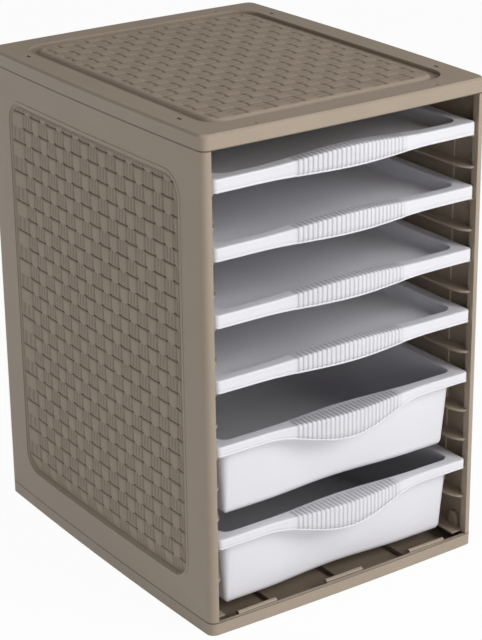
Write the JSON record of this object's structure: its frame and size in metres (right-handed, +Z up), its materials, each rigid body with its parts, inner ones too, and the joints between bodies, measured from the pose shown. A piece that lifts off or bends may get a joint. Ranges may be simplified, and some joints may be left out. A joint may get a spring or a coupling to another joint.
{
  "type": "drawer tower",
  "caption": "Desktop tower in woven-look plastic with an open front, side runners, shallow paper trays and deep drawers that slide out.",
  "frame": {"origin": "middle of the face that the case stands on", "axes": "+Z up, open front towards -Y, +X to the right seen from the front"},
  "size_m": [0.2812, 0.3401, 0.4206],
  "materials": {
    "taupe_plastic": "satin taupe polypropylene, moulded with a woven relief",
    "white_plastic": "smooth white polypropylene"
  },
  "bodies": {
    "case": {"base": "taupe_plastic", "lid": "taupe_plastic", "side_left": "taupe_plastic", "side_right": "taupe_plastic", "back": "taupe_plastic"},
    "tray_1": {"tray_1": "white_plastic"},
    "tray_2": {"tray_2": "white_plastic"},
    "tray_3": {"tray_3": "white_plastic"},
    "tray_4": {"tray_4": "white_plastic"},
    "drawer_1": {"drawer_1": "white_plastic"},
    "drawer_2": {"drawer_2": "white_plastic"}
  },
  "joints": [
    {"name": "tray_1_slide", "type": "slide", "parent": "case", "child": "tray_1", "axis": [0, -1, 0], "range_m": [0, 0.25]},
    {"name": "tray_2_slide", "type": "slide", "parent": "case", "child": "tray_2", "axis": [0, -1, 0], "range_m": [0, 0.25]},
    {"name": "tray_3_slide", "type": "slide", "parent": "case", "child": "tray_3", "axis": [0, -1, 0], "range_m": [0, 0.25]},
    {"name": "tray_4_slide", "type": "slide", "parent": "case", "child": "tray_4", "axis": [0, -1, 0], "range_m": [0, 0.25]},
    {"name": "drawer_1_slide", "type": "slide", "parent": "case", "child": "drawer_1", "axis": [0, -1, 0], "range_m": [0, 0.25]},
    {"name": "drawer_2_slide", "type": "slide", "parent": "case", "child": "drawer_2", "axis": [0, -1, 0], "range_m": [0, 0.25]}
  ]
}
